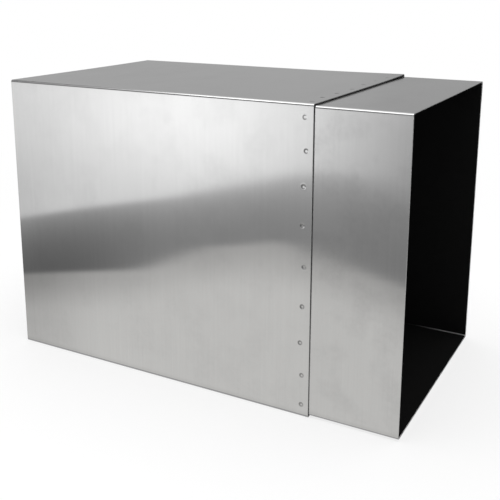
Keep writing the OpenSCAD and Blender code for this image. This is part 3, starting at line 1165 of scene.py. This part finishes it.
verts, levels = [], []
for row in range(FAN_ROWS + RISER_ROWS + 1):
    down = 1.0 - FAN_HIGHEST * (min(row, FAN_ROWS) / FAN_ROWS) ** FAN_CROWD
    risen = max(0, row - FAN_ROWS)
    reach = FAN_HEIGHT / (FAN_HEIGHT - casing_high.z * (1.0 - down))
    for column in range(FAN_COLUMNS + 1):
        along = FAN_FROM + FAN_SPAN * column / FAN_COLUMNS
        face = Vector((casing_low.x + along * (casing_high.x - casing_low.x), casing_low.y))
        spot = FAN_POINT + (face - FAN_POINT) * reach
        verts.append((spot.x, spot.y, SWEEP_Z + SWEEP_RISER * risen / RISER_ROWS))
        level, warm = sweep_level(along, down)
        level *= 1.0 - RISER_DIM * clamped(risen / 2) * (1.0 - smooth(1.05, 1.4, along))
        levels += [level, level * (1.0 - WARM_GREEN * warm), level * (1.0 - WARM_BLUE * warm), 1.0]
wide = FAN_COLUMNS + 1
quads = [(r * wide + c, r * wide + c + 1, (r + 1) * wide + c + 1, (r + 1) * wide + c)
         for r in range(FAN_ROWS + RISER_ROWS) for c in range(FAN_COLUMNS)]
finish, tree, colour = glowing_finish("Front sweep")
fill(tree, colour, placed(tree, "ShaderNodeAttribute", attribute_name="level").outputs["Color"])
sweep = staged_mesh("front_sweep", verts, quads, finish)
sweep.data.attributes.new("level", "FLOAT_COLOR", "POINT").data.foreach_set("color", levels)
mirror_only(sweep)

# Grey walls before and behind, a ceiling that is brightest before the front and dark to the
# left, a strip under the front's foot, and dark flags behind and to the right
ROOM_HALF = 4.0
FRONT_WALL_Y = -2.4
BACK_WALL_Y = 1.7
WALL_TOP = 2.4
CEILING_Z = 2.28
CEILING_Y = 2.0
CEILING_LEFT = -1.15
CEILING_RIGHT = 1.4
FLAG_LEFT = -5.0
card("front wall",
     [(-ROOM_HALF, FRONT_WALL_Y, SWEEP_RISER), (ROOM_HALF, FRONT_WALL_Y, SWEEP_RISER)],
     [(-ROOM_HALF, FRONT_WALL_Y, WALL_TOP), (ROOM_HALF, FRONT_WALL_Y, WALL_TOP)],
     [(0.0, 0.30), (0.3, 0.36), (0.5, 0.5), (1.0, 0.6)],
     [(0.0, 0.60), (0.39, 0.60), (0.44, 1.0), (1.0, 1.0)])
card("back wall",
     [(-ROOM_HALF, BACK_WALL_Y, 0.0), (ROOM_HALF, BACK_WALL_Y, 0.0)],
     [(-ROOM_HALF, BACK_WALL_Y, WALL_TOP), (ROOM_HALF, BACK_WALL_Y, WALL_TOP)],
     [(0.0, 0.42), (0.25, 0.45), (0.6, 0.6), (1.0, 0.8)],
     [(0.0, 1.0), (0.43, 1.0), (0.46, 0.91), (0.66, 0.91), (0.70, 0.15), (1.0, 0.1)])
card("ceiling card",
     [(CEILING_LEFT, -CEILING_Y, CEILING_Z), (CEILING_RIGHT, -CEILING_Y, CEILING_Z)],
     [(CEILING_LEFT, CEILING_Y, CEILING_Z), (CEILING_RIGHT, CEILING_Y, CEILING_Z)],
     [(0.0, 2.7), (0.34, 2.7), (0.39, 1.3), (1.0, 1.2)],
     [(0.0, 1.0), (0.31, 1.0), (0.40, 0.5), (1.0, 0.42)])
card("ceiling flag",
     [(CEILING_LEFT, -CEILING_Y, CEILING_Z), (CEILING_LEFT, CEILING_Y, CEILING_Z)],
     [(FLAG_LEFT, -CEILING_Y, CEILING_Z), (FLAG_LEFT, CEILING_Y, CEILING_Z)],
     [(0.0, 1.7), (0.12, 0.40), (0.35, 0.16), (1.0, 0.10)],
     [(0.0, 2.2), (0.30, 2.2), (0.40, 1.0), (1.0, 1.0)])
card("foot strip",
     [(-1.0, -0.17, 0.0004), (0.8, -0.17, 0.0004)],
     [(-1.0, -0.14, 0.0004), (0.8, -0.14, 0.0004)],
     [(0.0, 0.60), (1.0, 0.50)])
card("back flag",
     [(-2.5, 0.38, 0.004), (3.5, 0.38, 0.004)],
     [(-2.5, 0.85, 0.004), (3.5, 0.85, 0.004)],
     [(0.0, 0.85), (0.12, 0.4), (0.35, 0.28), (0.8, 0.42), (1.0, 0.95)])
card("right flag",
     [(1.5, 2.2, 0.0), (1.5, -1.0, 0.0)],
     [(1.5, 2.2, 1.5), (1.5, -1.0, 1.5)],
     [(0.0, 0.06), (1.0, 0.06)])
